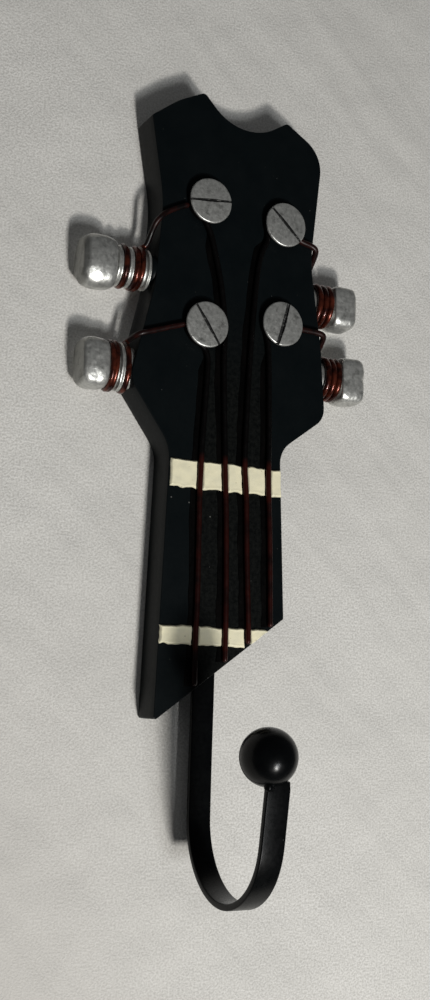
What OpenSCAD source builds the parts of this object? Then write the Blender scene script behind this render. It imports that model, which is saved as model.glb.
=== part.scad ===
// Wall hook shaped like the headstock of a four-string bass guitar.
// The back of the plaque lies in the plane y = 0 and the front faces -Y, +Z up.
// The origin is the centre of the round entry of the keyhole in the back.
// Lists of four run upper left, upper right, lower right, lower left.

/* [Plaque] */
// Thickness of the headstock plaque
plaque_t = 14.4; // [12:0.1:16]
// Depth that the nut and the fret bar are let into the front
inlay_depth = 0.8; // [0.5:0.1:1.5]
// How far the nut and the fret bar stand above the front
inlay_rise = 1.4; // [0.8:0.1:1.8]

/* [Hook] */
// Width of the flat bar
bar_w = 9; // [8:0.1:12]
// Thickness of the flat bar
bar_t = 2.4; // [2:0.1:2.6]
// Sideways place of the bar's middle
hook_x = -3; // [-4:0.1:0]
// Distance of the bar's back from the wall
hook_y = 6; // [5:0.1:7]
// Outer radius of the U bend
bend_r = 29; // [26:0.1:32]
// Height of the centre of the U bend
bend_z = -233.8; // [-240:0.1:-230]
// Lean of the front leg away from the wall, in degrees
leg_lean = 8.9; // [4:0.1:12]
// Height of the tip of the front leg
tip_z = -217; // [-220:0.1:-215]
// Height of the upper end of the bar, inside the plaque
bar_top_z = -128; // [-135:1:-125]
// Diameter of the ball
ball_d = 20; // [18:0.5:22]
// Centre of the ball
ball_centre = [-5.3, -63, -209]; // [-215:0.1:0]

/* [String posts] */
// Sideways place of each post
post_x = [-10.9, 22.5, 22.2, -10.8]; // [-15:0.1:25]
// Height of each post
post_z = [-0.5, -3.7, -44.4, -49.8]; // [-55:0.1:5]
// Slope of the screwdriver slot in each cap, in degrees
slot_angle = [7, -42, 75, -55]; // [-90:1:90]
// Diameter of the slotted caps
cap_d = 17.8; // [16:0.1:18]
// Thickness of the slotted caps
cap_t = 1.6; // [1.2:0.1:2.4]
// Diameter of the spacer under each cap
spacer_d = 13.2; // [12:0.1:14]
// Height of the spacer under each cap
spacer_h = 2.4; // [2.2:0.1:3]

/* [Tuners] */
// Height of each tuner
tuner_z = [-30, -31.4, -61.4, -69]; // [-72:0.1:-28]
// Distance from the middle to the edge that each shaft leaves
seat_x = [33.4, 38.6, 43, 39.7]; // [30:0.1:45]
// Distance from that edge to the button
reach = [13.4, 10, 9.6, 8.7]; // [8:0.1:15]
// Length of each button along its shaft
button_len = [13.5, 10.6, 11, 10.4]; // [9:0.1:15]
// Height of each button
button_h = [20.8, 17.8, 19.2, 19.4]; // [16:0.1:22]
// Depth of the buttons from front to back
button_d = 14; // [12:0.1:14.4]
// Distance of the shafts from the back of the plaque
shaft_y = 7.9; // [7.9:0.1:8.2]
// Depth of the shafts, from front to back, where the wire is wound
core_d = 10.8; // [10:0.1:10.8]
// How much the height of each shaft passes its depth, above the axis and below it
shaft_rise = [1.1, 1.3, 1.3, 2.5]; // [0:0.1:2.6]
// Depth of the plain lands of the shafts
land_d = 13.8; // [13:0.1:14]

/* [Strings] */
// Diameter of the strings
string_d = 2.2; // [1.8:0.1:2.3]
// Diameter of the wire wound on each shaft
wire_d = [2.2, 2.4, 2.4, 2.1]; // [1.6:0.1:2.4]

/* [Wall fixing] */
// Diameter of the round entry of the keyhole
entry_d = 8.5; // [8:0.1:9]
// Width of the slot of the keyhole
slot_w = 4.4; // [4:0.1:4.6]
// Distance that the plaque drops onto its wall screw
drop = 9; // [8:0.5:10]
// Thickness of the hanger plate
plate_t = 1.5; // [1:0.1:2]
// Depth of the pocket for the wall screw's head, from the back
pocket_depth = 6.5; // [5:0.1:7]

/* [Hidden] */
$fn = 48;

SIDE = [-1, 1, 1, -1];
UPPER_LEFT = 0;

BLACK = [0.06, 0.06, 0.07];
IVORY = [0.9, 0.87, 0.78];
SILVER = [0.7, 0.7, 0.7];
RED_WIRE = [0.28, 0.06, 0.04];
ZINC = [0.6, 0.6, 0.6];

front_y = -plaque_t;
gap = 0.05;
// Overlap that joins the straight legs of the hook to its bend
JOIN = 0.2;

// Corners of the plaque as x, z and the radius that rounds them,
// clockwise from the upper left corner.
OUTLINE = [
    [-35.6, 30.3, 1], [-24.5, 39, 40], [-13.4, 44.6, 2], [3.7, 27.4, 21],
    [24, 40.6, 2], [41, 30.6, 14], [36.4, -16, 60], [41.8, -50, 60],
    [44.3, -79.3, 8], [24.2, -94.4, 10], [27.4, -159.9, 0.8],
    [-25.8, -199.4, 1.6], [-23.3, -97.9, 16], [-40.6, -74, 10],
    [-31.8, -36, 40], [-29.6, -3, 60]
];
ARC_STEPS = 8;
lowest_z = -200;

// Nut and fret bar as left end, right end, lowest z and highest z.
// Both stop at the plaque's edge where it comes first.
NUT = [-22.9, 30, -113.2, -102];
FRET = [-24.9, 20.4, -171.6, -164];
NOTCH_W = string_d + 0.3;

POST_STEM_D = 5;
POST_STEM_LEN = 6;
CAP_SLOT_W = 1.3;
CAP_SLOT_DEPTH = 0.8;
CAP_RIM_R = 0.6;

SPIGOT_D = 7;
SPIGOT_LEN = 10;
SEAT_DEPTH = 3.5;
BUTTON_SPIGOT_D = 6;
BUTTON_SPIGOT_LEN = 6;
BUTTON_ROUND = 4.4;
BOSS_D = 12.8;

PLATE_W = 15;
PLATE_LOW = -14;
PLATE_HIGH = 21;
PLATE_SCREW_Z = [-9.5, 16.5];
PLATE_SCREW_D = 2.6;
PLATE_SCREW_HEAD_D = 4.8;
PLATE_SCREW_LEN = 8;
HOOK_SCREW_Z = [-137, -162];
HOOK_SCREW_D = 3.4;
HOOK_SCREW_HEAD_D = 6.4;
HOOK_SCREW_LEN = 11;
WELD_CENTRE = [-6.7, -66.3, -218.2];
WELD_D = 4;

// Lands of each shaft as start and end distances from the plaque's edge
LANDS = [
    [[0, 1.2], [7, 8.9], [11.4, 13.4]],
    [],
    [],
    [[2.6, 4.2]]
];
// Depth of the flat on the back of each land, where the wire crosses it
LAND_FLAT = 4.4;

// Neck run of each string as x and z, from its post down to the oblique end
NECK_RUNS = [
    [[-9.9, -12.4], [-7.8, -19], [-4.2, -34], [-2.3, -50], [-2.3, -64],
     [-1.3, -86], [-0.5, -103], [0.6, -124], [1.5, -154], [1.8, -177.2]],
    [[15.4, -11], [13, -17], [11.3, -26], [9.5, -50], [8.5, -73], [7.9, -96],
     [8.1, -104], [9, -115], [9.9, -138], [11.2, -161], [11.5, -170.1]],
    [[17.2, -56], [17.8, -72], [18.3, -90], [18.5, -107], [19.3, -122],
     [20, -138], [20.8, -163.3]],
    [[-9.4, -62], [-9.6, -76], [-10.4, -93], [-10.7, -104], [-10.9, -117],
     [-10.6, -140], [-10.5, -155], [-10.7, -168], [-10.6, -186.4]]
];
// Angle where each string meets its post and where it ends under the cap
LOOP_ANGLES = [[258, 60], [205, 40], [215, 40], [258, 60]];
LOOP_R = spacer_d / 2 + string_d / 2 + gap;
LOOP_STEP = 14;

// Route of each tuner wire over the plaque's edge, as distance from the
// middle, y and z, from the post to where it joins its coil
WIRE_RUNS = [
    [[20.4, -15.6, -3.6], [25, -15.6, -5.8], [28.6, -15.6, -8], [30.9, -15.8, -10.2],
     [32.6, -14.4, -12.8], [33.1, -11.8, -16], [33.8, -9.4, -19.9], [35.3, -8.3, -21.3]],
    [[28.4, -15.7, -7.8], [32, -15.7, -8.8], [35.6, -15.7, -9.6], [37.7, -15.4, -10.8],
     [38.7, -12.8, -13], [39.2, -8, -17], [39.6, -3.6, -23]],
    [[29.3, -15.7, -44.7], [34, -15.7, -44.8], [39, -15.7, -45], [41.9, -15.5, -45.7],
     [43.2, -12.8, -47.4], [43.9, -8, -50.5], [44.3, -3.6, -55]],
    [[20.1, -15.6, -50.7], [26, -15.6, -52.8], [31, -15.6, -54.6], [35.4, -15.8, -56.2],
     [38, -14.9, -57.2], [39.6, -12, -58.4], [40.6, -9.6, -59.5]]
];
// Angle where each coil starts, from the front upwards, and the way it turns
COIL_START = [90, 180, 180, 90];
COIL_WAY = [-1, 1, 1, -1];
COIL_STEP = 18;
// Turns of each coil against distance from the plaque's edge
COIL_X = [
    [[0, 3], [1.2, 5.7], [1.74, 5.75], [1.91, 10.1], [2.71, 10.2]],
    [[0, 1.4], [2.8, 8.6]],
    [[0, 1.4], [2.7, 8.3]],
    [[0, 1.4], [0.74, 1.5], [0.91, 5.35], [1.91, 7.5], [2.71, 7.6]]
];
TUBE_SIDES = 8;

// ---- functions ----

function unit(v) = v / norm(v);

// Points of the arc that rounds corner b between its neighbours a and c
function corner_arc(a, b, c) =
    let (
        at = [b[0], b[1]],
        to_a = unit([a[0], a[1]] - at),
        to_c = unit([c[0], c[1]] - at),
        half = acos(to_a * to_c) / 2,
        centre = at + unit(to_a + to_c) * b[2] / sin(half),
        start = at + to_a * b[2] / tan(half) - centre,
        end = at + to_c * b[2] / tan(half) - centre,
        turn = atan2(start[0] * end[1] - start[1] * end[0], start * end)
    )
    [for (i = [0:ARC_STEPS])
        let (t = turn * i / ARC_STEPS)
        centre + [start[0] * cos(t) - start[1] * sin(t), start[0] * sin(t) + start[1] * cos(t)]];

function rounded(corners) =
    let (n = len(corners))
    [for (i = [0:n - 1])
        each corner_arc(corners[(i + n - 1) % n], corners[i], corners[(i + 1) % n])];

// Direction of a route at point i
function heading(route, i) =
    let (n = len(route) - 1)
    unit(unit(route[min(i + 1, n)] - route[max(i - 1, 0)]));

// Carries a sideways direction along a route without twisting it
function carried(route, side, i) =
    let (along = heading(route, i))
    unit(side - along * (side * along));

function sides(route, side, i = 0) =
    i >= len(route) ? [] :
    let (now = carried(route, side, i))
    concat([now], sides(route, now, i + 1));

function ring(centre, along, side, radius) =
    let (up = cross(along, side))
    [for (k = [0:TUBE_SIDES - 1])
        let (a = 360 * k / TUBE_SIDES)
        centre + radius * (cos(a) * side + sin(a) * up)];

// Point of the loop around a post
function loop_point(i, angle) = [
    post_x[i] + LOOP_R * cos(angle),
    front_y - string_d / 2 - gap,
    post_z[i] + LOOP_R * sin(angle)
];

function string_route(i) =
    let (
        angles = LOOP_ANGLES[i],
        steps = ceil((angles[0] - angles[1]) / LOOP_STEP)
    )
    concat(
        [for (k = [steps:-1:0]) loop_point(i, angles[0] + (angles[1] - angles[0]) * k / steps)],
        [for (p = NECK_RUNS[i]) [p[0], front_y - string_d / 2 - gap, p[1]]]
    );

// Point of a coil after a number of turns
function coil_point(i, turns) =
    let (
        angle = COIL_START[i] + COIL_WAY[i] * 360 * turns,
        r = core_d / 2 + wire_d[i] / 2 + gap
    )
    [
        SIDE[i] * (seat_x[i] + lookup(turns, COIL_X[i])),
        -shaft_y - r * cos(angle),
        tuner_z[i] + (r + shaft_rise[i]) * sin(angle)
    ];

function wire_route(i) =
    let (last = COIL_X[i][len(COIL_X[i]) - 1][0])
    concat(
        [for (p = WIRE_RUNS[i]) [SIDE[i] * p[0], p[1], p[2]]],
        [for (turns = [0:COIL_STEP / 360:last]) coil_point(i, turns)]
    );

// ---- shared shapes ----

// Extrudes a shape drawn in x and z from depth y_from back to y_to
module slab(y_from, y_to) {
    translate([0, y_to, 0])
        rotate([90, 0, 0])
            linear_extrude(y_to - y_from)
                children();
}

// Cylinder along Y between two depths
module rod_y(x, z, d, y_from, y_to) {
    translate([x, y_to, z])
        rotate([90, 0, 0])
            cylinder(d = d, h = y_to - y_from);
}

// Cylinder along X on the axis of a tuner, between distances from the middle
module rod_x(i, d, x_from, x_to) {
    translate([SIDE[i] * x_from, -shaft_y, tuner_z[i]])
        rotate([0, SIDE[i] * 90, 0])
            cylinder(d = d, h = x_to - x_from);
}

// Upright oval along the axis of a tuner, d deep, between distances from the middle
module oval_x(i, d, x_from, x_to) {
    translate([min(SIDE[i] * x_from, SIDE[i] * x_to), -shaft_y, tuner_z[i]])
        rotate([90, 0, 90])
            linear_extrude(x_to - x_from)
                scale([1, 1 + 2 * shaft_rise[i] / d])
                    circle(d = d);
}

// Round tube along a route
module tube(route, d) {
    n = len(route);
    start = carried(route, [0.1, -1, 0.2], 0);
    side = sides(route, start);
    points = [for (i = [0:n - 1]) each ring(route[i], heading(route, i), side[i], d / 2)];
    walls = [
        for (i = [0:n - 2], k = [0:TUBE_SIDES - 1])
            let (
                a = i * TUBE_SIDES + k,
                b = i * TUBE_SIDES + (k + 1) % TUBE_SIDES
            )
            [a, b, b + TUBE_SIDES, a + TUBE_SIDES]
    ];
    first_cap = [for (k = [TUBE_SIDES - 1:-1:0]) k];
    last_cap = [for (k = [0:TUBE_SIDES - 1]) (n - 1) * TUBE_SIDES + k];
    polyhedron(points, concat(walls, [first_cap], [last_cap]), convexity = 10);
}

module outline() {
    polygon(rounded(OUTLINE));
}

module rounded_rectangle(w, h, r) {
    square([w - 2 * r, h], center = true);
    square([w, h - 2 * r], center = true);
    for (x = [r - w / 2, w / 2 - r], y = [r - h / 2, h / 2 - r])
        translate([x, y])
            circle(r);
}

// Block with every edge rounded
module rounded_block(w, d, h, r) {
    intersection() {
        linear_extrude(h, center = true)
            rounded_rectangle(w, d, r);
        rotate([90, 0, 0])
            linear_extrude(d, center = true)
                rounded_rectangle(w, h, r);
        rotate([90, 0, 90])
            linear_extrude(w, center = true)
                rounded_rectangle(d, h, r);
    }
}

// Stadium from the keyhole's entry to the top of its slot
module keyhole_shape(entry, slot) {
    circle(d = entry);
    translate([-slot / 2, 0])
        square([slot, drop]);
    translate([0, drop])
        circle(d = slot);
}

// Band that follows a string across the inlays
module string_band(i, w) {
    run = NECK_RUNS[i];
    polygon(concat(
        [for (p = run) [p[0] - w / 2, p[1]]],
        [for (k = [len(run) - 1:-1:0]) [run[k][0] + w / 2, run[k][1]]]
    ));
}

// Countersunk cross-head screw driven from the back, head flush at depth y
module back_screw(x, z, y, d, head_d, length) {
    head_h = (head_d - d) / 2;
    recess_w = head_d * 0.16;
    recess_l = head_d * 0.56;
    translate([x, y, z])
        rotate([90, 0, 0])
            difference() {
                union() {
                    cylinder(d1 = head_d, d2 = d, h = head_h);
                    cylinder(d = d, h = length);
                }
                for (a = [0, 90])
                    rotate([0, 0, a])
                        translate([-recess_l / 2, -recess_w / 2, -1])
                            cube([recess_l, recess_w, 1 + head_h * 0.8]);
            }
}

// Hole that takes such a screw
module screw_hole(x, z, y, d, head_d, length) {
    head_h = (head_d - d) / 2;
    translate([x, y, z])
        rotate([90, 0, 0]) {
            cylinder(d1 = head_d + 2 * gap, d2 = d + 2 * gap, h = head_h);
            cylinder(d = d + 2 * gap, h = length + gap);
        }
}

// ---- sub-parts ----

module headstock_body() {
    color(BLACK)
        difference() {
            union() {
                slab(front_y, 0)
                    outline();
                rod_x(UPPER_LEFT, BOSS_D, seat_x[UPPER_LEFT] - SEAT_DEPTH, seat_x[UPPER_LEFT]);
            }
            inlay_seat(NUT);
            inlay_seat(FRET);
            hanger_recess();
            hook_channel();
            for (i = [0:3]) {
                rod_y(post_x[i], post_z[i], POST_STEM_D + 2 * gap, front_y - 1, front_y + POST_STEM_LEN);
                shaft_seat(i);
            }
        }
}

// Shallow seat for the nut or the fret bar
module inlay_seat(bar) {
    slab(front_y - 1, front_y + inlay_depth)
        translate([bar[0], bar[2]])
            square([bar[1] - bar[0], bar[3] - bar[2]]);
}

// Recess for the hanger plate, its screws and the head of the wall screw
module hanger_recess() {
    slab(-plate_t, 1)
        plate_outline(gap);
    slab(-pocket_depth, 1)
        keyhole_shape(entry_d + 1, entry_d + 1);
    for (z = PLATE_SCREW_Z)
        screw_hole(0, z, 0, PLATE_SCREW_D, PLATE_SCREW_HEAD_D, PLATE_SCREW_LEN);
}

// Slot inside the plaque for the upper end of the hook bar, open at the oblique end
module hook_channel() {
    slab(-hook_y - bar_t - gap, gap - hook_y)
        translate([hook_x - bar_w / 2 - gap, lowest_z])
            square([bar_w + 2 * gap, bar_top_z + gap - lowest_z]);
    hook_screw_holes();
}

module hook_screw_holes() {
    for (z = HOOK_SCREW_Z)
        screw_hole(hook_x, z, 0, HOOK_SCREW_D, HOOK_SCREW_HEAD_D, HOOK_SCREW_LEN);
}

// Counterbore and hole in the plaque's side for a tuner shaft
module shaft_seat(i) {
    if (i != UPPER_LEFT)
        oval_x(i, core_d + 2 * gap, seat_x[i] - SEAT_DEPTH, seat_x[i] + reach[i]);
    rod_x(i, SPIGOT_D + 2 * gap, seat_x[i] - SPIGOT_LEN - gap, seat_x[i] + 1);
}

// Raised bar let into the front, cut away where the strings pass
module inlay_bar(bar) {
    color(IVORY)
        slab(front_y - inlay_rise, front_y + inlay_depth)
            difference() {
                intersection() {
                    outline();
                    translate([bar[0], bar[2]])
                        square([bar[1] - bar[0], bar[3] - bar[2]]);
                }
                for (i = [0:3])
                    string_band(i, NOTCH_W);
            }
}

// Web that joins the pieces of a notched bar below the strings
module inlay_web(bar) {
    color(IVORY)
        slab(front_y, front_y + inlay_depth)
            intersection() {
                outline();
                translate([bar[0], bar[2]])
                    square([bar[1] - bar[0], bar[3] - bar[2]]);
            }
}

module nut_bar() {
    inlay_bar(NUT);
    inlay_web(NUT);
}

module fret_bar() {
    inlay_bar(FRET);
    inlay_web(FRET);
}

module plate_outline(margin) {
    r = PLATE_W / 2 + margin;
    translate([0, PLATE_LOW + PLATE_W / 2])
        circle(r);
    translate([0, PLATE_HIGH - PLATE_W / 2])
        circle(r);
    translate([-r, PLATE_LOW + PLATE_W / 2])
        square([2 * r, PLATE_HIGH - PLATE_LOW - PLATE_W]);
}

module hanger_plate() {
    color(ZINC)
        difference() {
            slab(-plate_t, 0)
                plate_outline(0);
            slab(-plate_t - 1, 1)
                keyhole_shape(entry_d, slot_w);
            for (z = PLATE_SCREW_Z)
                screw_hole(0, z, 0, PLATE_SCREW_D, PLATE_SCREW_HEAD_D, PLATE_SCREW_LEN);
        }
}

module hanger_screws() {
    color(ZINC)
        for (z = PLATE_SCREW_Z)
            back_screw(0, z, 0, PLATE_SCREW_D, PLATE_SCREW_HEAD_D, PLATE_SCREW_LEN);
}

// Flat bar bent into a hook, with the weld bead that holds the ball
module hook_bar() {
    lean_y = -hook_y - bend_r - bend_r * cos(leg_lean);
    lean_z = bend_z - bend_r * sin(leg_lean);
    leg_len = (tip_z - lean_z) / cos(leg_lean);
    color(BLACK)
        difference() {
            union() {
                translate([hook_x - bar_w / 2, -hook_y - bar_t, bend_z - JOIN])
                    cube([bar_w, bar_t, bar_top_z - bend_z + JOIN]);
                translate([hook_x - bar_w / 2, -hook_y - bend_r, bend_z])
                    rotate([90, 0, 90])
                        rotate_extrude(angle = leg_lean - 180, $fn = 96)
                            translate([bend_r - bar_t, 0])
                                square([bar_t, bar_w]);
                translate([hook_x - bar_w / 2, lean_y, lean_z])
                    rotate([leg_lean, 0, 0])
                        translate([0, 0, -JOIN])
                            cube([bar_w, bar_t, leg_len + JOIN]);
                translate(WELD_CENTRE)
                    sphere(d = WELD_D);
            }
            translate(ball_centre)
                sphere(d = ball_d, $fn = 96);
            hook_screw_holes();
        }
}

module hook_ball() {
    color(BLACK)
        translate(ball_centre)
            sphere(d = ball_d, $fn = 96);
}

module hook_screws() {
    color(ZINC)
        for (z = HOOK_SCREW_Z)
            back_screw(hook_x, z, 0, HOOK_SCREW_D, HOOK_SCREW_HEAD_D, HOOK_SCREW_LEN);
}

// Slotted cap with its stem
module post_cap(i) {
    r = cap_d / 2;
    top = spacer_h + cap_t;
    color(SILVER)
        translate([post_x[i], front_y, post_z[i]])
            rotate([90, 0, 0])
                difference() {
                    union() {
                        rotate_extrude($fn = 96)
                            polygon(concat(
                                [[0, spacer_h], [r, spacer_h], [r, top - CAP_RIM_R]],
                                [for (a = [15:15:90])
                                    [r - CAP_RIM_R + CAP_RIM_R * cos(a), top - CAP_RIM_R + CAP_RIM_R * sin(a)]],
                                [[0, top]]
                            ));
                        translate([0, 0, -POST_STEM_LEN + gap])
                            cylinder(d = POST_STEM_D, h = POST_STEM_LEN + spacer_h);
                    }
                    rotate([0, 0, slot_angle[i]])
                        translate([-r - 1, -CAP_SLOT_W / 2, top - CAP_SLOT_DEPTH])
                            cube([2 * r + 2, CAP_SLOT_W, CAP_SLOT_DEPTH + 1]);
                }
}

// Black ring that holds a cap off the front and carries the string
module post_spacer(i) {
    color(BLACK)
        difference() {
            rod_y(post_x[i], post_z[i], spacer_d, front_y - spacer_h, front_y);
            rod_y(post_x[i], post_z[i], POST_STEM_D + 2 * gap, front_y - spacer_h - 1, front_y + 1);
        }
}

// Shaft with a spigot at each end and plain lands between the coils
module tuner_shaft(i) {
    inner = i == UPPER_LEFT ? seat_x[i] : seat_x[i] - SEAT_DEPTH;
    color(SILVER) {
        rod_x(i, SPIGOT_D, seat_x[i] - SPIGOT_LEN, seat_x[i] + 1);
        oval_x(i, core_d, inner, seat_x[i] + reach[i]);
        for (land = LANDS[i])
            difference() {
                oval_x(i, land_d, seat_x[i] + land[0], seat_x[i] + land[1]);
                translate([-100, LAND_FLAT - shaft_y, tuner_z[i] - land_d])
                    cube([200, land_d, 2 * land_d]);
            }
        rod_x(i, BUTTON_SPIGOT_D, seat_x[i] + reach[i] - 1, seat_x[i] + reach[i] + BUTTON_SPIGOT_LEN);
    }
}

module tuner_button(i) {
    near = seat_x[i] + reach[i];
    color(SILVER)
        difference() {
            translate([SIDE[i] * (near + button_len[i] / 2), -shaft_y, tuner_z[i]])
                rounded_block(button_len[i], button_d, button_h[i], BUTTON_ROUND);
            rod_x(i, BUTTON_SPIGOT_D + 2 * gap, near - 1, near + BUTTON_SPIGOT_LEN + gap);
        }
}

module guitar_string(i) {
    color(RED_WIRE)
        tube(string_route(i), string_d);
}

module tuner_wire(i) {
    color(RED_WIRE)
        tube(wire_route(i), wire_d[i]);
}

headstock_body();
nut_bar();
fret_bar();
hanger_plate();
hanger_screws();
hook_bar();
hook_ball();
hook_screws();
for (i = [0:3]) {
    post_cap(i);
    post_spacer(i);
    tuner_shaft(i);
    tuner_button(i);
    guitar_string(i);
    tuner_wire(i);
}
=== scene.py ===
"""Looks of the headstock wall hook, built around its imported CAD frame.

Shapes are worked out in millimetres in the row frame and become metres when a
mesh is made. Lists of four run upper left, upper right, lower right, lower left.
"""

import math

import bmesh
import bpy
from mathutils import Matrix, Vector, noise


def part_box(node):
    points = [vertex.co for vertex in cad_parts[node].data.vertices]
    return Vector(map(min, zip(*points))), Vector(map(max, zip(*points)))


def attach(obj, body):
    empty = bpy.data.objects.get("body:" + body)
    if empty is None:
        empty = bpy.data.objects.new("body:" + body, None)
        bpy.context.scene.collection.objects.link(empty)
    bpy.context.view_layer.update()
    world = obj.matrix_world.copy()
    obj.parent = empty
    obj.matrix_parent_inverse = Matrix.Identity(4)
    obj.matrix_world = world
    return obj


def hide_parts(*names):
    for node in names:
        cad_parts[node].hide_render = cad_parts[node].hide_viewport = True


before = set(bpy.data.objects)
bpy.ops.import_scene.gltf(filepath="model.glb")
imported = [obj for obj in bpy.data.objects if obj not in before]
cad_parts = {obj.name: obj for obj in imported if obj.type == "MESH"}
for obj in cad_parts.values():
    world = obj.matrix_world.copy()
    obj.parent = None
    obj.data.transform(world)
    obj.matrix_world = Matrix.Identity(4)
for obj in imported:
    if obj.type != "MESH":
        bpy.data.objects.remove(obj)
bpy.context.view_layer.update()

MM = 0.001
TUNERS = range(4)
COMPASS = [(1, 0, 0), (-1, 0, 0), (0, 1, 0), (0, -1, 0), (0, 0, 1), (0, 0, -1)]
# Way each tuner points in x
SIDE = (-1, 1, 1, -1)


def box_mm(node):
    """Lowest and highest corner of a CAD node in millimetres."""
    low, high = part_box(node)
    return low / MM, high / MM


def boxes(kind):
    """Boxes of the four CAD nodes of one kind."""
    return [box_mm(f"{kind}_{i + 1}") for i in TUNERS]


def middle(box):
    """Middle of a box in x and z."""
    low, high = box
    return (low.x + high.x) / 2, (low.z + high.z) / 2


def half_width(box):
    return (box[1].x - box[0].x) / 2


# ---- driving dimensions ----

# The plaque's front, where the spacers stand
FRONT = box_mm("post_spacer_1")[1].y
BAR_BOX = box_mm("hook_bar")
BALL_BOX = box_mm("hook_ball")
PLATE_BOX = box_mm("hanger_plate")
CAP_BOXES = boxes("post_cap")
SPACER_BOXES = boxes("post_spacer")
BUTTON_BOXES = boxes("tuner_button")

# Corners of the plaque as x, z and the radius that rounds them
OUTLINE = [
    (-35.6, 30.3, 1), (-24.5, 39, 40), (-13.4, 44.6, 2), (3.7, 27.4, 21),
    (24, 40.6, 2), (41, 30.6, 14), (36.4, -16, 60), (41.8, -50, 60),
    (44.3, -79.3, 8), (24.2, -94.4, 10), (27.4, -159.9, 0.8),
    (-26, -199.6, 0.9), (-23.3, -97.9, 16), (-40.6, -74, 10),
    (-31.8, -36, 40), (-29.6, -3, 60),
]
SMALLEST_CORNER = 0.9
ARC_STEP = 1.2
# Rounding of its front and back edges, and how far its side swells in the middle
EDGE_FRONT_R = 0.35
EDGE_BACK_R = 0.5
EDGE_CROWN = 0.1
# Nut and fret bar as left end, right end, lowest z and highest z
NUT = (-22.9, 30, -113.2, -102)
FRET = (-24.9, 20.4, -171.6, -164)
# The painted tiles of both: height above the front, raised lip, rounding, margin and
# how deep they start behind the front
TILE_RISE = 1.15
TILE_LIP = 0.12
TILE_ROUND = 0.8
TILE_MARGIN = 0.3
TILE_ROOT = 0.5

# Radii of the strings and of each tuner wire
STRING_R = 1.1
WIRE_R = (1.1, 1.2, 1.2, 1.05)
TUBE_SIDES = 16
# Clearance between pieces that lie against each other
GAP = 0.05
STRING_Y = FRONT - STRING_R - GAP
# Gaps of the tiles to the strings and to the plaque's edge
TILE_GAP = 0.1
TILE_END_GAP = 0.35
# Ribbon of painted shade beside each string, standing in for the string's shadow: its width, height and
# depth in the plaque
SHADE_RIBBON_W = 3.3
SHADE_RIBBON_H = 0.22
SHADE_RIBBON_ROOT = 0.4
# Neck run of each string as x and z
NECK_RUNS = [
    [(-9.9, -12.4), (-7.8, -19), (-4.2, -34), (-2.3, -50), (-2.3, -64),
     (-1.3, -86), (-0.5, -103), (0.6, -124), (1.5, -154), (1.8, -177.2)],
    [(15.4, -11), (13, -17), (11.3, -26), (9.5, -50), (8.5, -73), (7.9, -96),
     (8.1, -104), (9, -115), (9.9, -138), (11.2, -161), (11.5, -170.1)],
    [(17.2, -56), (17.8, -72), (18.3, -90), (18.5, -107), (19.3, -122),
     (20, -138), (20.8, -163.3)],
    [(-9.4, -62), (-9.6, -76), (-10.4, -93), (-10.7, -104), (-10.9, -117),
     (-10.6, -140), (-10.5, -155), (-10.7, -168), (-10.6, -186.4)],
]
# Angles where each string leaves its post and where its loop round it begins
LOOP_ANGLES = ((258, 60), (205, 40), (215, 40), (258, 60))
# Route of each tuner wire over the plaque's edge: distance from the middle, y, z
WIRE_RUNS = [
    [(20.4, -15.6, -3.6), (25, -15.6, -5.8), (28.6, -15.6, -8), (30.9, -15.8, -10.2),
     (32.6, -14.4, -12.8), (33.1, -11.8, -16), (33.8, -9.4, -19.9), (35.3, -8.3, -21.3)],
    [(28.4, -15.7, -7.8), (32, -15.7, -8.8), (35.6, -15.7, -9.6), (37.7, -15.4, -10.8),
     (38.7, -12.8, -13), (39.2, -8, -17), (39.6, -3.6, -23)],
    [(29.3, -15.7, -44.7), (34, -15.7, -44.8), (39, -15.7, -45), (41.9, -15.5, -45.7),
     (43.2, -12.8, -47.4), (43.9, -8, -50.5), (44.3, -3.6, -55)],
    [(20.1, -15.6, -50.7), (26, -15.6, -52.8), (31, -15.6, -54.6), (35.4, -15.8, -56.2),
     (38, -14.9, -57.2), (39.6, -12, -58.4), (40.6, -9.6, -59.5)],
]
# Steps in a turn of a coil, the angle where each starts, and its way
COIL_STEPS = 40
COIL_START = (90, 180, 180, 90)
COIL_WAY = (-1, 1, 1, -1)
# Turns of each coil against distance from the plaque's edge
COIL_X = [
    [(0, 3), (1.2, 5.7), (1.74, 5.75), (1.91, 10.1), (2.71, 10.2)],
    [(0, 1.4), (2.8, 8.6)],
    [(0, 1.4), (2.7, 8.3)],
    [(0, 1.4), (0.74, 1.5), (0.91, 5.35), (1.91, 7.5), (2.71, 7.6)],
]

# The post caps: rounding and fall of the rim, stem and slots
CAP_RIM_R = 0.5
CAP_DOME = 0.4
STEM_LEN = 4
STEM_R = 2.5
SLOT_CUT_W = (0.85, 0.95, 1.5, 0.95)
SLOT_CUT_DEPTH = 0.8
# Slope of the screwdriver slot in each cap, in degrees
SLOT_DEG = (7, -42, 75, -55)

# The shafts: where each leaves the plaque, how far its button is, how much its
# height passes its depth on either side of the axis, and its radii from front to back
SEAT_X = (33.4, 38.6, 43, 39.7)
REACH = (13.4, 10, 9.6, 8.7)
SHAFT_RISE = (1.1, 1.3, 1.3, 2.5)
CORE_R = 5.4
LAND_R = 6.9
LANDS = [[(0, 1.2), (7, 8.9), (11.4, 13.4)], [], [], [(2.6, 4.2)]]
# How far behind a shaft's axis each land is cut flat, where the wire crosses it
LAND_FLAT = 4.4
# Boss that the upper left shaft leaves: distance from its root and radius
BOSS_ROOT = 5
BOSS = [(0, 6.4), (3.4, 6.4), (4.3, 6.2), (4.8, 5.7), (5, 5.1)]
AXIS_Y = (BUTTON_BOXES[0][0].y + BUTTON_BOXES[0][1].y) / 2
TUNER_Z = [(low.z + high.z) / 2 for low, high in BUTTON_BOXES]

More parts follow.
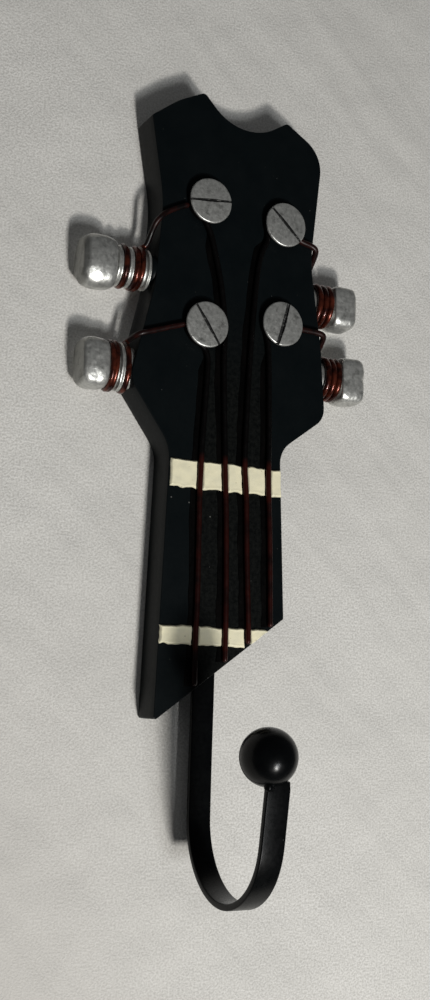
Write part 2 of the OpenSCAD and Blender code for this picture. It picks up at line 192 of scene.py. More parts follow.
# Pits and dents of each button: place as outwards, forwards, up, then radius and depth
DENTS = [
    [((-1, 7, 6), 2.2, 0.5), ((-4, 7, 1.5), 0.8, 0.45), ((2, 6.5, -8), 2.6, 0.5)],
    [((2, 7, -3), 1.6, 0.3)],
    [((3.5, 7, -4.5), 0.9, 0.5), ((2.6, 7, -7), 0.8, 0.4), ((4.5, 6, 1), 1.3, 0.35)],
    [((3.6, 6.6, 4.5), 0.8, 0.4), ((-1, 7, -6), 2, 0.35)],
]
# How square each button is, from 2 for an egg up, and how far past its flat ends
# the rounding would reach, as a share of half its length
BUTTON_SQUARE = (2.6, 4.2, 4.2, 3)
BUTTON_CUT = (0.25, 0.04, 0.04, 0.25)

# The hook: its bar's section, its bend and the lean of its front leg
BAR_W = 9
BAR_T = 2.4
BAR_X = BAR_BOX[1].x - BAR_W / 2
BAR_BACK = BAR_BOX[1].y
BAR_EDGE_R = 0.5
BEND_R = 29
BEND_Z = -233.8
LEAN = math.radians(8.9)
TIP_Z = -217
# Steps along its straight part, its bend and its leg
STRAIGHT_STEPS = 12
BEND_STEPS = 60
LEG_STEPS = 8
WELD_CENTRE = (-6.7, -66.3, -218.2)
WELD_R = 2.05
# Its slot in the plaque: clearance, and a height below the oblique cut
BAR_SLOT_GAP = 0.1
BAR_SLOT_Z = -205
# Its screws: heights, then head diameter, shank diameter and length
HOOK_SCREW_Z = (-137, -162)
HOOK_SCREW = (6.4, 3.4, 11)
# Countersunk hole for them as distance from just behind the back and radius
HOOK_SCREW_HOLE = [(0, 3.8), (0.5, 3.3), (2.1, 1.75), (11.7, 1.75)]

# The wall fixing
ENTRY_R = 4.25
SLOT_W = 4.4
DROP = 9
POCKET_DEPTH = 6.5
PLATE_SCREW_Z = (-9.5, 16.5)
PLATE_SCREW = (4.8, 2.6, 8)
PLATE_SCREW_HOLE = [(0, 2.8), (0.3, 2.5), (1.5, 1.4), (3, 1.4)]

# Pale chips in the paint of the plaque
CHIPS = [
    (-25.2, -13.9, -188.6), (-25.6, -14.1, -198.2), (-4.4, -14.3, -183.2), (-7.3, -14.2, -186.3),
    (-22, -14.4, -117), (-14.6, -14.4, -118.4), (-5.6, -14.4, -123), (27, -13.8, -144),
]
CHIP_R = 0.3
# Fades in metres of the coarse paint between the strings, from none to all
COARSE_LEFT = (-0.012, -0.009)
COARSE_RIGHT = (0.0195, 0.0175)
COARSE_TOP = (-0.035, -0.075)
# Fade in metres of the painted shade on the left buttons' outer flat ends, which face away from the lamps
END_SHADE_FADE = (-0.0574, -0.0588)
# Fades in metres of the painted shade that darkens the cloth's lower left corner
CLOTH_SHADE_DOWN = (-0.12, -0.3)
CLOTH_SHADE_LEFT = (0.02, -0.1)

# Lamps as name, direction from the target, distance, size, power, colour and whether
# the pieces mirror them; metres and watts
LAMP_TARGET = (0, -0.02, -0.11)
LAMPS = [
    ("key", (0.11, -0.98, -0.84), 1.295, 0.12, 11.8, (1, 0.98, 0.94), True),
    ("second", (0.14, -0.98, -0.61), 1.163, 0.2, 4.4, (0.96, 0.985, 1), True),
    ("fill", (-0.3, -1, 0.9), 2.2, 1.6, 3, (1, 1, 1), False),
    ("back", (0.4, 1, 0.5), 2, 1.4, 26, (1, 1, 1), True),
]
ROOM_LIGHT = 0.05

# The photograph's camera: place in metres, turn, pitch and roll in degrees, and focal
# length in widths of the sensor
CAMERA_PLACE = (-0.2201, -0.4425, -0.1866)
CAMERA_ANGLES = (26.81, 8.32, 1.75)
CAMERA_FOCAL = 1.2821


# ---- material nodes ----


class Paint:
    """A procedural material and the few node steps that the finishes share."""

    def __init__(self, name, **sockets):
        self.material = bpy.data.materials.new(name)
        self.material.use_nodes = True
        self.nodes = self.material.node_tree.nodes
        self.links = self.material.node_tree.links
        self.shader = self.nodes["Principled BSDF"]
        self.fill(self.shader, sockets)
        self.place = self.node("TexCoord").outputs["Object"]

    def fill(self, node, sockets):
        """Sets inputs of a node by their names, with _ for a space."""
        for socket, value in sockets.items():
            node.inputs[socket.replace("_", " ")].default_value = value

    def node(self, kind, **sockets):
        node = self.nodes.new("ShaderNode" + kind)
        self.fill(node, sockets)
        return node

    def join(self, source, target):
        self.links.new(source, target)

    def grain(self, pitch_mm, detail=3, roughness=0.55, stretch=(1, 1, 1), turn_deg=0):
        """Noise from 0 to 1, its features about pitch_mm across and turned about Z."""
        mapping = self.node("Mapping", Rotation=(0, 0, math.radians(turn_deg)),
                            Scale=[pitch_mm * MM / s for s in stretch])
        mapping.vector_type = "TEXTURE"
        self.join(self.place, mapping.inputs["Vector"])
        texture = self.node("TexNoise", Scale=1, Detail=detail, Roughness=roughness)
        self.join(mapping.outputs["Vector"], texture.inputs["Vector"])
        return texture.outputs["Fac"]

    def dots(self, pitch_mm, size):
        """1 in small round dots pitch_mm apart, 0 between them."""
        texture = self.node("TexVoronoi", Scale=1 / (pitch_mm * MM))
        self.join(self.place, texture.inputs["Vector"])
        return self.ramp(texture.outputs["Distance"], (size * 0.6, size), (1, 0))

    def spots(self, places, radius_mm):
        """1 in small round chips at the given places in millimetres."""
        total = None
        for place in places:
            away = self.node("VectorMath")
            away.operation = "DISTANCE"
            self.join(self.place, away.inputs[0])
            away.inputs[1].default_value = Vector(place) * MM
            spot = self.ramp(away.outputs["Value"], (radius_mm * MM, radius_mm * 0.7 * MM))
            total = spot if total is None else self.add(total, spot)
        return total

    def axis(self, name):
        """One coordinate in metres, in the row frame but on the cloth in its own plane."""
        node = self.node("SeparateXYZ")
        self.join(self.place, node.inputs["Vector"])
        return node.outputs[name]

    def ramp(self, value, ends, outputs=(0, 1)):
        """Maps value from the two ends to the two outputs, held beyond them."""
        node = self.node("MapRange", From_Min=ends[0], From_Max=ends[1],
                         To_Min=outputs[0], To_Max=outputs[1])
        self.join(value, node.inputs["Value"])
        return node.outputs["Result"]

    def math(self, operation, a, b):
        node = self.node("Math")
        node.operation = operation
        node.use_clamp = True
        self.join(a, node.inputs[0])
        self.join(b, node.inputs[1])
        return node.outputs["Value"]

    def product(self, a, b):
        return self.math("MULTIPLY", a, b)

    def add(self, a, b):
        return self.math("ADD", a, b)

    def blend(self, factor, below, above):
        """Colour below where factor is 0 and above where it is 1."""
        node = self.node("Mix")
        node.data_type = "RGBA"
        colours = [s for s in node.inputs if s.type == "RGBA"]
        self.join(factor, node.inputs["Factor"])
        for socket, colour in zip(colours, (below, above)):
            if isinstance(colour, tuple):
                socket.default_value = (*colour, 1)
            else:
                self.join(colour, socket)
        return next(s for s in node.outputs if s.type == "RGBA")

    def clouds(self, pitch_mm, ends, below, above, **kind):
        """One colour over another in soft patches about pitch_mm across."""
        return self.blend(self.ramp(self.grain(pitch_mm, **kind), ends), below, above)

    def specks(self, pitch_mm, size, patch_mm, ends):
        """Dots that show only in patches about patch_mm across."""
        chance = self.ramp(self.grain(patch_mm, detail=1), ends)
        return self.product(self.dots(pitch_mm, size), chance)

    def colour(self, value):
        self.join(value, self.shader.inputs["Base Color"])

    def roughness(self, values, pitch_mm):
        """Roughness that wanders between two values over about pitch_mm."""
        uneven = self.ramp(self.grain(pitch_mm), (0.3, 0.7), values)
        self.join(uneven, self.shader.inputs["Roughness"])

    def bump(self, *heights):
        """Stacks bumps given as (height, depth in millimetres)."""
        normal = None
        for height, depth_mm in heights:
            node = self.node("Bump", Strength=1, Distance=depth_mm * MM)
            self.join(height, node.inputs["Height"])
            if normal:
                self.join(normal, node.inputs["Normal"])
            normal = node.outputs["Normal"]
        self.join(normal, self.shader.inputs["Normal"])


def black_resin():
    """Satin black paint on cast resin, coarser and greyer between the strings."""
    paint = Paint("black_resin_paint", Specular_IOR_Level=0.07)
    x, z = paint.axis("X"), paint.axis("Z")
    left, right, top = paint.ramp(x, COARSE_LEFT), paint.ramp(x, COARSE_RIGHT), paint.ramp(z, COARSE_TOP)
    inside = paint.product(left, paint.product(right, top))
    smooth = paint.clouds(9, (0.3, 0.7), (0.0022, 0.0035, 0.0041), (0.0034, 0.0048, 0.0054))
    coarse = paint.clouds(1.6, (0.38, 0.68), (0.0015, 0.0019, 0.0019), (0.0072, 0.0078, 0.0072),
                          detail=5, roughness=0.7)
    specks = paint.specks(2.6, 0.06, 6, (0.6, 0.68))
    chipped = paint.add(specks, paint.spots(CHIPS, CHIP_R))
    paint.colour(paint.blend(chipped, paint.blend(inside, smooth, coarse), (0.1, 0.1, 0.094)))
    paint.roughness((0.34, 0.44), 1.2)
    paint.bump(
        (paint.product(inside, paint.grain(0.6, detail=4)), 0.1),
        (paint.grain(0.55, detail=4), 0.025),
        (paint.grain(5), 0.04),
    )
    return paint.material


def string_shade_paint():
    """Near-black paint of the ribbons beside the strings: painted shade that stands in for the strings'
    shadows.
    """
    paint = Paint("painted_string_shade", Specular_IOR_Level=0.06)
    paint.colour(paint.clouds(2.5, (0.4, 0.7), (0.0006, 0.0006, 0.0006), (0.002, 0.0016, 0.0015),
                              stretch=(1, 1, 0.2)))
    paint.roughness((0.3, 0.42), 1.5)
    paint.bump((paint.grain(1.2, detail=2), 0.05))
    return paint.material


def ivory_paint():
    """Cream paint with soft blotches, dark pin specks and brush ripples."""
    paint = Paint("ivory_gloss_paint", Specular_IOR_Level=0.5)
    base = paint.clouds(4, (0.35, 0.65), (0.72, 0.68, 0.5), (0.8, 0.745, 0.53))
    specks = paint.specks(1.7, 0.14, 5, (0.5, 0.6))
    paint.colour(paint.blend(specks, base, (0.2, 0.16, 0.1)))
    paint.roughness((0.28, 0.45), 1.5)
    paint.bump((paint.grain(1.6), 0.05), (paint.grain(0.4), 0.012))
    return paint.material


def aged_silver():
    """Silver paint rubbed over a dark ground: softly mottled, with dark pits; the left buttons' outer ends
    carry painted shade.
    """
    paint = Paint("aged_silver_paint", Metallic=0.78)
    base = paint.clouds(1.5, (0.25, 0.75), (0.36, 0.36, 0.343), (0.66, 0.66, 0.63),
                        detail=4, roughness=0.6)
    stains = paint.ramp(paint.grain(3.6, detail=5, roughness=0.65), (0.54, 0.72), (0, 0.9))
    # painted shade: the left buttons' outer ends, which face away from the lamps, are darkened
    end_shade = paint.ramp(paint.axis("X"), END_SHADE_FADE, (0, 0.8))
    stained_and_shaded = paint.blend(paint.add(stains, end_shade), base, (0.17, 0.17, 0.158))
    pits = paint.specks(1.5, 0.1, 3, (0.55, 0.65))
    paint.colour(paint.blend(pits, stained_and_shaded, (0.05, 0.05, 0.05)))
    paint.roughness((0.32, 0.44), 1.1)
    paint.bump(
        (paint.grain(2.4, detail=2), 0.11),
        (paint.grain(0.9, detail=4, roughness=0.7), 0.055),
        (paint.grain(0.5, detail=2, stretch=(1, 1, 0.3)), 0.02),
    )
    return paint.material


def slot_grime():
    """Dark ground left in the screwdriver slots, with a little silver on it."""
    paint = Paint("slot_grime", Metallic=0.3)
    paint.colour(paint.clouds(0.9, (0.55, 0.75), (0.012, 0.012, 0.012), (0.2, 0.2, 0.19)))
    paint.roughness((0.4, 0.6), 0.7)
    paint.bump((paint.grain(0.5), 0.03))
    return paint.material


def red_wire(name, dull, bright, rough, metallic, coat):
    """Dark red enamel, thinner and more coppery in patches."""
    paint = Paint(name, Metallic=metallic, Coat_Weight=coat, Coat_Roughness=0.12,
                  Specular_IOR_Level=0.2)
    paint.colour(paint.clouds(4.5, (0.4, 0.7), dull, bright))
    paint.roughness(rough, 2)
    paint.bump((paint.grain(1.5, detail=2), 0.03))
    return paint.material


def string_enamel():
    """Nearly black enamel, dark red in patches and where the strings cross the ivory; the red over the ivory
    is partly painted light bounced from it.
    """
    paint = Paint("string_enamel", Metallic=0.3, Coat_Weight=0.06, Coat_Roughness=0.2,
                  Specular_IOR_Level=0.2)
    z = paint.axis("Z")

    def band(low, high, fade):
        """1 between two heights, fading to 0 beyond them."""
        return paint.product(paint.ramp(z, ((low - fade) * MM, low * MM)),
                             paint.ramp(z, ((high + fade) * MM, high * MM)))

    on_neck = paint.ramp(z, ((NUT[2] + 2) * MM, (NUT[2] - 2) * MM))
    patches = paint.product(on_neck, paint.ramp(paint.grain(7), (0.32, 0.68), (0.12, 0.8)))
    # partly painted light: the red bands over the nut and fret stand in partly for light bounced from the
    # ivory
    red = paint.add(patches, paint.add(band(*NUT[2:], 3), band(*FRET[2:], 2)))
    paint.colour(paint.blend(red, (0.0014, 0.001, 0.001), (0.028, 0.004, 0.0026)))
    paint.roughness((0.3, 0.44), 2)
    paint.bump((paint.grain(1.5, detail=2), 0.03))
    return paint.material


def black_steel(name, specular, rough):
    """Satin black powder coat over steel, with a few rubbed spots."""
    paint = Paint(name, Specular_IOR_Level=specular)
    base = paint.clouds(6, (0.35, 0.7), (0.0008, 0.001, 0.0012), (0.0018, 0.0021, 0.0023))
    rubbed = paint.specks(3.4, 0.09, 8, (0.58, 0.66))
    paint.colour(paint.blend(rubbed, base, (0.03, 0.03, 0.029)))
    paint.roughness(rough, 1.4)
    paint.bump((paint.grain(0.5), 0.008), (paint.grain(4), 0.03))
    return paint.material


def zinc_steel():
    """Bright zinc plate, faintly brushed along its length."""
    paint = Paint("zinc_steel_plate", Metallic=1.0)
    paint.colour(paint.clouds(2.5, (0.35, 0.65), (0.42, 0.42, 0.41), (0.62, 0.62, 0.6)))
    paint.roughness((0.26, 0.42), 1.5)
    paint.bump((paint.grain(0.3, stretch=(1, 1, 0.08)), 0.01))
    return paint.material


def cloth():
    """Pale woven cloth with soft slanting creases and painted shade in its lower left corner, seen only from
    its front.
    """
    paint = Paint("backdrop_cloth", Roughness=0.9, Specular_IOR_Level=0.15)
    base = paint.clouds(60, (0.3, 0.7), (0.64, 0.627, 0.598), (0.7, 0.687, 0.658))
    woven = paint.clouds(0.8, (0.35, 0.65), (0.5, 0.487, 0.46), base, detail=2)
    # painted shade: the cloth darkens towards its lower left corner
    down, left = paint.ramp(paint.axis("Y"), CLOTH_SHADE_DOWN), paint.ramp(paint.axis("X"), CLOTH_SHADE_LEFT)
    corner = paint.product(down, left)
    paint.colour(paint.blend(corner, woven, (0.5, 0.48, 0.45)))
    paint.bump(
        (paint.grain(0.8), 0.3),
        (paint.grain(22, detail=2, stretch=(0.16, 1, 1), turn_deg=-45), 1.8),
        (paint.grain(40, detail=2), 2.5),
    )
    facing = paint.node("NewGeometry")
    clear = paint.node("BsdfTransparent")
    chosen = paint.node("MixShader")
    paint.join(facing.outputs["Backfacing"], chosen.inputs["Fac"])
    paint.join(paint.shader.outputs["BSDF"], chosen.inputs[1])
    paint.join(clear.outputs["BSDF"], chosen.inputs[2])
    paint.join(chosen.outputs["Shader"], paint.nodes["Material Output"].inputs["Surface"])
    return paint.material


BLACK = black_resin()
IVORY = ivory_paint()
SILVER = aged_silver()
GRIME = slot_grime()
# painted shade: near-black ribbons beside the strings stand in for their shadows
STRING_SHADE = string_shade_paint()
STRING_RED = string_enamel()
RUN_RED = red_wire("run_enamel", (0.002, 0.001, 0.001), (0.02, 0.004, 0.003), (0.34, 0.46),
                   metallic=0.1, coat=0.03)
WIRE_RED = red_wire("coil_enamel", (0.02, 0.0038, 0.0026), (0.15, 0.03, 0.014), (0.22, 0.34),
                    metallic=0.6, coat=0.35)
STEEL = black_steel("black_steel_coat", 0.1, (0.26, 0.34))
BALL_STEEL = black_steel("black_ball_coat", 0.15, (0.22, 0.27))
ZINC = zinc_steel()


# ---- mesh helpers ----


def ripple(point, pitch, height, seed=0.0):
    """Smooth offset up to height that varies over pitch, for a point in millimetres."""
    return height * noise.noise(Vector(point) / pitch + Vector((seed, 1.7 * seed, -seed)))


def placed(name, data):
    """Scene object that holds a mesh, lamp or camera."""
    thing = bpy.data.objects.new(name, data)
    bpy.context.scene.collection.objects.link(thing)
    return thing


def make_mesh(name, points, faces, material, smooth_deg=35):
    """Mesh object from points in millimetres, its sharp edges kept."""
    mesh = bpy.data.meshes.new(name)
    mesh.from_pydata([Vector(p) * MM for p in points], [], faces)
    mesh.materials.append(material)
    tool = bmesh.new()
    tool.from_mesh(mesh)
    bmesh.ops.recalc_face_normals(tool, faces=tool.faces)
    tool.to_mesh(mesh)
    tool.free()
    mesh.shade_smooth()
    mesh.set_sharp_from_angle(angle=math.radians(smooth_deg))
    return placed(name, mesh)


def hand_in(piece, slot, *nodes):
    """The piece rides on the hook and takes the place of its CAD nodes."""
    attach(piece, "root")
    if nodes:
        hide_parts(*nodes)


def combine(piece, others, operation, smooth_deg=35):
    """Adds the other solids to a piece or cuts them away, and removes them."""
    for other in others:
        modifier = piece.modifiers.new("combine", "BOOLEAN")
        modifier.operation = operation
        modifier.solver = "EXACT"
        modifier.material_mode = "TRANSFER"
        modifier.object = other
    graph = bpy.context.evaluated_depsgraph_get()
    mesh = bpy.data.meshes.new_from_object(piece.evaluated_get(graph))
    piece.modifiers.clear()
    piece.data = mesh
    mesh.set_sharp_from_angle(angle=math.radians(smooth_deg))
    for other in others:
        bpy.data.objects.remove(other)
    return piece


def joined(pieces):
    """One object that holds all the shells of the given ones."""
    first = pieces[0]
    tool = bmesh.new()
    for piece in pieces:
        tool.from_mesh(piece.data)
    tool.to_mesh(first.data)
    tool.free()
    for piece in pieces[1:]:
        bpy.data.objects.remove(piece)
    return first


def skin(name, points, sides, material, smooth_deg=35):
    """Solid whose wall joins rings of equal size, with a face over each end."""
    faces = []
    for r in range(len(points) // sides - 1):
        for k in range(sides):
            a, b = r * sides + k, r * sides + (k + 1) % sides
            faces.append((a, b, b + sides, a + sides))
    faces.append(tuple(range(sides)))
    faces.append(tuple(range(len(points) - sides, len(points))))
    return make_mesh(name, points, faces, material, smooth_deg)


def corner_arc(before, corner, after):
    """Points of the arc that rounds a corner given as x, z and radius."""
    at = Vector(corner[:2])
    radius = max(corner[2], SMALLEST_CORNER)
    to_before = (Vector(before[:2]) - at).normalized()
    to_after = (Vector(after[:2]) - at).normalized()
    half = to_before.angle(to_after) / 2
    centre = at + (to_before + to_after).normalized() * radius / math.sin(half)
    start = at + to_before * radius / math.tan(half) - centre
    end = at + to_after * radius / math.tan(half) - centre
    turn = math.atan2(start.x * end.y - start.y * end.x, start.dot(end))
    steps = max(5, math.ceil(abs(turn) * radius / ARC_STEP))
    points = []
    for k in range(steps + 1):
        c, s = math.cos(turn * k / steps), math.sin(turn * k / steps)
        points.append(centre + Vector((start.x * c - start.y * s, start.x * s + start.y * c)))
    return points


def rounded(corners):
    points = []
    for i, corner in enumerate(corners):
        points += corner_arc(corners[i - 1], corner, corners[(i + 1) % len(corners)])
    return points


def arc(centre, radius, first_deg, last_deg, steps=24):
    """Points of an arc in x and z."""
    angles = [math.radians(first_deg + (last_deg - first_deg) * k / steps) for k in range(steps + 1)]
    return [Vector((centre[0] + radius * math.cos(a), centre[1] + radius * math.sin(a))) for a in angles]


def stadium(x, low, high, width):
    """Outline of an upright stadium between two heights."""
    r = width / 2
    return arc((x, high - r), r, 0, 180) + arc((x, low + r), r, 180, 360)


def rectangle(left, right, low, high):
    return [Vector(p) for p in ((left, low), (right, low), (right, high), (left, high))]


def inset(outline, amount):
    """Closed outline moved inwards by amount, corner by corner."""
    after = outline[1:] + outline[:1]
    area = sum(a.x * b.y - b.x * a.y for a, b in zip(outline, after))
    turn = math.copysign(1, area)
    moved = []
    for i, p in enumerate(outline):
        a = (p - outline[i - 1]).normalized()
        b = (after[i] - p).normalized()
        out_of_a = Vector((-a.y, a.x)) * turn
        normal = (out_of_a + Vector((-b.y, b.x)) * turn).normalized()
        moved.append(p + normal * amount / max(0.5, normal.dot(out_of_a)))
    return moved


def fillet_levels(front, back, front_r, back_r, crown=0, steps=5):
    """Depths and insets of a slab with rounded edges and a side that swells by crown."""
    rim = 0.2
    quarter = [math.pi / 2 * k / steps for k in range(steps + 1)]
    levels = [(front, front_r + rim)]
    levels += [(front + front_r * (1 - math.cos(t)), front_r * (1 - math.sin(t))) for t in quarter]
    straight = back - back_r - front - front_r
    levels += [(front + front_r + straight * k / 4, 0) for k in (1, 2, 3)]
    levels += [(back - back_r + back_r * math.sin(t), back_r * (1 - math.cos(t))) for t in quarter]
    levels.append((back, back_r + rim))
    centre, half = (front + back) / 2, (back - front) / 2
    return [(y, amount + crown * ((y - centre) / half) ** 2) for y, amount in levels]


def slab(name, outline, levels, material):
    """Solid from an outline in x and z, with (y, inset) levels from front to back."""
    points = [(p.x, y, p.y) for y, amount in levels for p in inset(outline, amount)]
    return skin(name, points, len(outline), material)


def plain_slab(name, outline, front, back, material):
    return slab(name, outline, [(front, 0), (back, 0)], material)


def turned(name, origin, along, profile, material, sides=64, smooth_deg=35, wobble=None):
    """Solid of revolution; the profile is (distance along the axis, radius)."""
    along = Vector(along).normalized()
    across = along.orthogonal().normalized()
    up = along.cross(across)
    points = []
    for distance, radius in profile:
        for k in range(sides):
            a = 2 * math.pi * k / sides
            spoke = math.cos(a) * across + math.sin(a) * up
            p = Vector(origin) + along * distance + spoke * radius
            if wobble and radius > 1:
                p += spoke * wobble(p)
            points.append(p)
    return skin(name, points, sides, material, smooth_deg)


def prism(name, section, origin, across, up, length, material):
    """Solid with the given (across, up) section, centred on origin along its length."""
    across, up = Vector(across), Vector(up)
    along = across.cross(up)
    points = [
        Vector(origin) + across * u + up * v + along * end * length / 2
        for end in (-1, 1)
        for u, v in section
    ]
    return skin(name, points, len(section), material)


def smooth_route(points, step):
    """Evenly spaced points on a Catmull-Rom curve through the given ones."""
    points = [Vector(p) for p in points]
    ends = [2 * points[0] - points[1]] + points + [2 * points[-1] - points[-2]]
    curve = []
    for i in range(1, len(ends) - 2):
        a, b, c, d = ends[i - 1:i + 3]
        count = max(2, math.ceil((c - b).length / step))
        for k in range(count):
            t = k / count
            curve.append(0.5 * (2 * b + (c - a) * t + (2 * a - 5 * b + 4 * c - d) * t * t
                                + (3 * b - a - 3 * c + d) * t ** 3))
    curve.append(points[-1])
    return curve


def carried_frames(route, side):
    """Heading and sideways direction at each point, without twist."""
    frames = []
    for i in range(len(route)):
        ahead = (route[min(i + 1, len(route) - 1)] - route[max(i - 1, 0)]).normalized()
        side = (side - ahead * side.dot(ahead)).normalized()
        frames.append((ahead, side))
    return frames


def tube(name, route, radius, material, wander=0.05, seed=0):
    """Round wire along a route with domed ends and a slightly uneven thickness."""
    rings = [(p, ahead, side, radius * (1 + ripple(p, 3.5, wander, seed)))
             for p, (ahead, side) in zip(route, carried_frames(route, Vector((0.1, -1, 0.2))))]

    def dome(ring, way):
        """Ever smaller rings beyond an end."""
        p, ahead, side, size = ring
        return [(p + ahead * way * size * math.sin(a), ahead, side, size * math.cos(a))
                for a in (math.radians(d) for d in (25, 50, 75))]

    rings = dome(rings[0], -1)[::-1] + rings + dome(rings[-1], 1)
    points = []
    for p, ahead, side, size in rings:
        up = ahead.cross(side)
        for k in range(TUBE_SIDES):
            a = 2 * math.pi * k / TUBE_SIDES
            points.append(p + size * (math.cos(a) * side + math.sin(a) * up))
    return skin(name, points, TUBE_SIDES, material, 60)


def lump(name, centre, axes, planes, material, sharpness, cuts=34, facets=(), dents=(), rough=(0, 0)):
    """Closed body bounded by planes, given as (direction, distance) in its own axes.

    The planes meet in softly rounded ridges and the facets in crisp ones. Dents
    are (place, radius, depth) in the same axes, and rough is the height of the
    coarse and the fine unevenness.
    """
    tool = bmesh.new()
    bmesh.ops.create_cube(tool, size=2)
    bmesh.ops.subdivide_edges(tool, edges=tool.edges[:], cuts=cuts, use_grid_fill=True)
    axes = Matrix(axes).transposed()
    seed = centre[2]
    planes = [(Vector(n).normalized(), h) for n, h in planes]
    for v in tool.verts:
        d = Vector([math.tan(c * math.pi / 4) for c in v.co]).normalized()
        pull = sum(max(0, n.dot(d) / h) ** sharpness for n, h in planes)
        p = d * pull ** (-1 / sharpness)
        for normal, distance in facets:
            p /= max(1, p.dot(Vector(normal).normalized()) / distance)
        for place, radius, depth in dents:
            away = (p - Vector(place)).length / radius
            p -= d * depth * math.exp(-away * away)
        p -= d * (abs(ripple(p, 4.5, rough[0], seed)) + ripple(p, 1.4, rough[1], seed))
        v.co = (axes @ p + Vector(centre)) * MM
    bmesh.ops.recalc_face_normals(tool, faces=tool.faces)
    mesh = bpy.data.meshes.new(name)
    tool.to_mesh(mesh)
    tool.free()
    mesh.materials.append(material)
    mesh.shade_smooth()
    return placed(name, mesh)


# ---- plaque ----


def hook_screw_holes(material):
    return [turned("hole", (BAR_X, 0.5, z), (0, -1, 0), HOOK_SCREW_HOLE, material) for z in HOOK_SCREW_Z]


def make_plaque():
    """Plaque with its boss, the recesses of the wall plate and the slot of the bar."""
    levels = fillet_levels(FRONT, 0, EDGE_FRONT_R, EDGE_BACK_R, crown=EDGE_CROWN)
    plaque = slab("plaque", rounded(OUTLINE), levels, BLACK)
    boss = turned("boss", (BOSS_ROOT - SEAT_X[0], AXIS_Y, TUNER_Z[0]), (-1, 0, 0), BOSS, BLACK)
    combine(plaque, [boss], "UNION")
    low, high = PLATE_BOX
    slot_half = BAR_W / 2 + BAR_SLOT_GAP
    recesses = [
        plain_slab("plate_recess", inset(stadium(0, low.z, high.z, high.x - low.x), -0.1),
                   low.y, 1, BLACK),
        plain_slab("pocket", stadium(0, -ENTRY_R - 0.5, DROP + ENTRY_R + 0.5, 2 * ENTRY_R + 1),
                   -POCKET_DEPTH, 1, BLACK),
        plain_slab("slot", rectangle(BAR_X - slot_half, BAR_X + slot_half, BAR_SLOT_Z,
                                     BAR_BOX[1].z + BAR_SLOT_GAP),
                   BAR_BACK - BAR_T - GAP, BAR_BACK + GAP, BLACK),
    ]
    combine(plaque, recesses + hook_screw_holes(BLACK), "DIFFERENCE")
    hand_in(plaque, "black_resin", "headstock_body")


def looked_up(table, at):
    """Value in a table of (growing place, value) pairs, straight between them."""
    for (a, low), (b, high) in zip(table, table[1:]):
        if at <= b:
            return low + (high - low) * (at - a) / (b - a)
    return table[-1][1]


def string_x(i, z):
    """Sideways place of a string at a height on the neck."""
    return looked_up([(-height, x) for x, height in NECK_RUNS[i]], -z)


def cut_x(z):
    """Right edge of the plaque at the height of a bar, side or oblique cut."""
    (x_top, z_top, _), (x_low, z_low, _), (x_end, z_end, _) = OUTLINE[9:12]
    if z > z_low:
        return x_low + (x_top - x_low) * (z - z_low) / (z_top - z_low)
    return x_low + (x_end - x_low) * (z - z_low) / (z_end - z_low)


def ivory_tile(name, left, right, low, high, seed):
    """Painted tile between two edges given as functions of z, swollen at its rim."""
    across, tall = 28, 22
    top = {}
    points = []
    for j in range(tall + 1):
        for i in range(across + 1):
            u, v = i / across, j / tall
            # closer rows near the rim, where the edge is rounded
            u, v = [0.5 - 0.5 * math.copysign(abs(2 * t - 1) ** 0.6, 1 - 2 * t) for t in (u, v)]
            z_edge = low + (high - low) * v
            width = right(z_edge) - left(z_edge)
            x = left(z_edge) + width * u
            wave = ripple((x, seed, 0), 3.2, 0.7) if v > 0.5 else ripple((x, seed, 9), 2.6, 0.8)
            z = z_edge + wave * abs(2 * v - 1)
            x += ripple((z, seed, 4), 2.2, 0.35) * abs(2 * u - 1)
            rim = min(u * width, (1 - u) * width, v * (high - low), (1 - v) * (high - low))
            fall = max(0, 1 - rim / TILE_ROUND)
            height = TILE_RISE * (1 - fall * fall * 0.75)
            height += TILE_LIP * math.exp(-((rim - 0.55) / 0.35) ** 2)
            height += ripple((x, z, seed), 3, 0.12) + ripple((x, z, seed), 1, 0.04)
            top[i, j] = len(points)
            points.append((x, FRONT - height, z))
    faces = [(top[i, j], top[i + 1, j], top[i + 1, j + 1], top[i, j + 1])
             for j in range(tall) for i in range(across)]
    rim = [top[i, 0] for i in range(across)] + [top[across, j] for j in range(tall)]
    rim += [top[i, tall] for i in range(across, 0, -1)] + [top[0, j] for j in range(tall, 0, -1)]
    base = range(len(points), len(points) + len(rim))
    points += [(points[k][0], FRONT + TILE_ROOT, points[k][2]) for k in rim]
    for k in range(len(rim)):
        n = (k + 1) % len(rim)
        faces.append((rim[k], rim[n], base[n], base[k]))
    faces.append(tuple(base))
    return make_mesh(name, points, faces, IVORY, 50)


def make_bar(name, node, span, strings):
    """A row of ivory tiles with the strings lying between them."""
    left_end, right_end, low, high = span
    edges = [lambda z: left_end]
    for i in strings:
        edges.append(lambda z, i=i: string_x(i, z) - STRING_R - TILE_GAP)
        edges.append(lambda z, i=i: string_x(i, z) + STRING_R + TILE_GAP)
    edges.append(lambda z: min(right_end, cut_x(z) - TILE_END_GAP))
    bar = joined([
        ivory_tile(f"{name}_{k}", edges[k], edges[k + 1], low + TILE_MARGIN, high - TILE_MARGIN,
                   seed=5.3 * k + len(name))
        for k in range(0, len(edges), 2)
    ])
    bar.name = name
    hand_in(bar, "ivory_paint", node)


# ---- string posts ----


